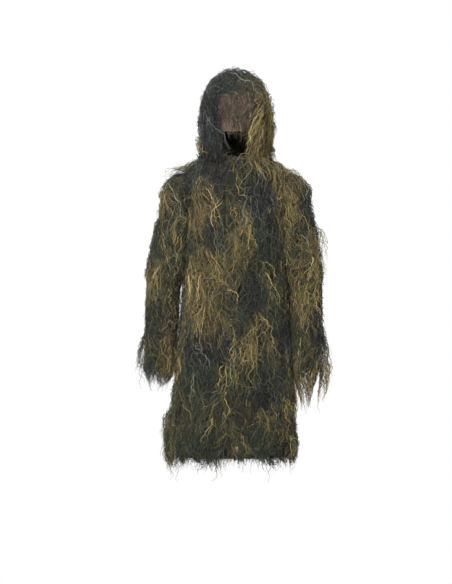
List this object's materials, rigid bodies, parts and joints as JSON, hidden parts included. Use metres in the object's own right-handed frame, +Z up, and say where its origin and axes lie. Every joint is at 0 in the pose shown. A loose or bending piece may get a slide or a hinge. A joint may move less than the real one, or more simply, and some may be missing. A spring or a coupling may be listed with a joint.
{
  "type": "ghillie suit parka",
  "caption": "Long hooded ghillie parka: mesh shell with front flap, sleeves, hood and face veil, covered all over in hanging camouflage yarn.",
  "frame": {"origin": "middle of the neck's base, where the parka hangs from its wearer's shoulders", "axes": "+Z up along the wearer's spine, -Y out of the front, +X to the wearer's left"},
  "size_m": [0.66, 0.3624, 1.3683],
  "materials": {
    "netting": "woven mesh netting, woodland print",
    "lining": "plain woven polyester",
    "tape": "ribbed sewing tape",
    "elastic": "woven elastic",
    "veil_net": "fine see-through net",
    "snap_metal": "dull blackened brass",
    "yarn_dark": "loose spun yarn, charcoal and dark green",
    "yarn_olive": "loose spun yarn, olive",
    "yarn_tan": "loose spun yarn, khaki and tan"
  },
  "bodies": {
    "coat": {"back_panel": "netting", "back_hem_tape": "tape", "back_yarn": "yarn_olive", "side_left_panel": "netting", "side_left_hem_tape": "tape", "side_left_yarn": "yarn_dark", "side_right_panel": "netting", "side_right_hem_tape": "tape", "side_right_yarn": "yarn_dark", "shoulder_yoke": "netting", "yoke_left_yarn": "yarn_dark", "yoke_right_yarn": "yarn_dark", "stand_collar": "lining", "hanger_loop": "tape"},
    "front_left": {"front_left_panel": "netting", "front_left_hem_tape": "tape", "front_left_yarn": "yarn_tan", "facing_tape_left": "tape"},
    "front_right": {"front_right_panel": "netting", "front_right_hem_tape": "tape", "front_right_yarn": "yarn_olive", "facing_tape_right": "tape", "snap_stud_1": "snap_metal", "snap_stud_2": "snap_metal", "snap_stud_3": "snap_metal", "snap_stud_4": "snap_metal", "snap_stud_5": "snap_metal", "snap_stud_6": "snap_metal"},
    "flap": {"placket_flap": "netting", "placket_flap_yarn": "yarn_olive", "snap_cap_1": "snap_metal", "snap_cap_2": "snap_metal", "snap_cap_3": "snap_metal", "snap_cap_4": "snap_metal", "snap_cap_5": "snap_metal", "snap_cap_6": "snap_metal"},
    "hood": {"hood_crown_panel": "netting", "hood_crown_yarn": "yarn_dark", "hood_left_panel": "netting", "hood_left_yarn": "yarn_olive", "hood_right_panel": "netting", "hood_right_yarn": "yarn_dark", "hood_rim_binding": "tape", "hood_rim_elastic": "elastic", "veil_brow_tape": "tape", "brow_fringe": "yarn_dark"},
    "veil": {"face_veil": "veil_net"},
    "upper_sleeve_left": {"upper_sleeve_left": "netting", "upper_sleeve_left_yarn": "yarn_tan"},
    "lower_sleeve_left": {"lower_sleeve_left": "netting", "cuff_elastic_left": "elastic", "lower_sleeve_left_yarn": "yarn_olive"},
    "upper_sleeve_right": {"upper_sleeve_right": "netting", "upper_sleeve_right_yarn": "yarn_olive"},
    "lower_sleeve_right": {"lower_sleeve_right": "netting", "cuff_elastic_right": "elastic", "lower_sleeve_right_yarn": "yarn_olive"}
  },
  "joints": [
    {"name": "shoulder_left", "type": "hinge", "parent": "coat", "child": "upper_sleeve_left", "pos_m": [0.176, 0, -0.085], "axis": [0, -1, 0], "range_deg": [0, 80], "deforming": ["upper_sleeve_left_yarn", "side_left_yarn", "yoke_left_yarn"]},
    {"name": "elbow_left", "type": "hinge", "parent": "upper_sleeve_left", "child": "lower_sleeve_left", "pos_m": [0.24, 0, -0.372], "axis": [-1, 0, 0], "range_deg": [0, 105], "deforming": ["lower_sleeve_left_yarn"]},
    {"name": "shoulder_right", "type": "hinge", "parent": "coat", "child": "upper_sleeve_right", "pos_m": [-0.176, 0, -0.085], "axis": [0, 1, 0], "range_deg": [0, 80], "deforming": ["upper_sleeve_right_yarn", "side_right_yarn", "yoke_right_yarn"]},
    {"name": "elbow_right", "type": "hinge", "parent": "upper_sleeve_right", "child": "lower_sleeve_right", "pos_m": [-0.248, 0, -0.372], "axis": [-1, 0, 0], "range_deg": [0, 105], "deforming": ["lower_sleeve_right_yarn"]},
    {"name": "hood_fold", "type": "hinge", "parent": "coat", "child": "hood", "pos_m": [0, 0.093, 0.045], "axis": [-1, 0, 0], "range_deg": [0, 95], "deforming": ["hood_crown_yarn", "hood_left_yarn", "hood_right_yarn", "back_yarn"]},
    {"name": "veil_lift", "type": "hinge", "parent": "hood", "child": "veil", "pos_m": [0, -0.084, 0.292], "axis": [-1, 0, 0], "range_deg": [0, 150], "deforming": ["brow_fringe"]},
    {"name": "front_left_open", "type": "hinge", "parent": "coat", "child": "front_left", "pos_m": [0.112, -0.102, -0.19], "axis": [0, 0.039, 0.9992], "range_deg": [0, 75], "deforming": ["front_left_yarn"]},
    {"name": "front_right_open", "type": "hinge", "parent": "coat", "child": "front_right", "pos_m": [-0.112, -0.102, -0.19], "axis": [0, -0.0519, -0.9987], "range_deg": [0, 75], "deforming": ["front_right_yarn"]},
    {"name": "flap_open", "type": "hinge", "parent": "front_left", "child": "flap", "pos_m": [0.022, -0.141, -0.13], "axis": [0, 0.021, 0.9998], "range_deg": [0, 110], "deforming": ["placket_flap_yarn"]}
  ],
  "couplings": [
    {"joint": "front_right_open", "follows": "front_left_open", "ratio": 1}
  ]
}
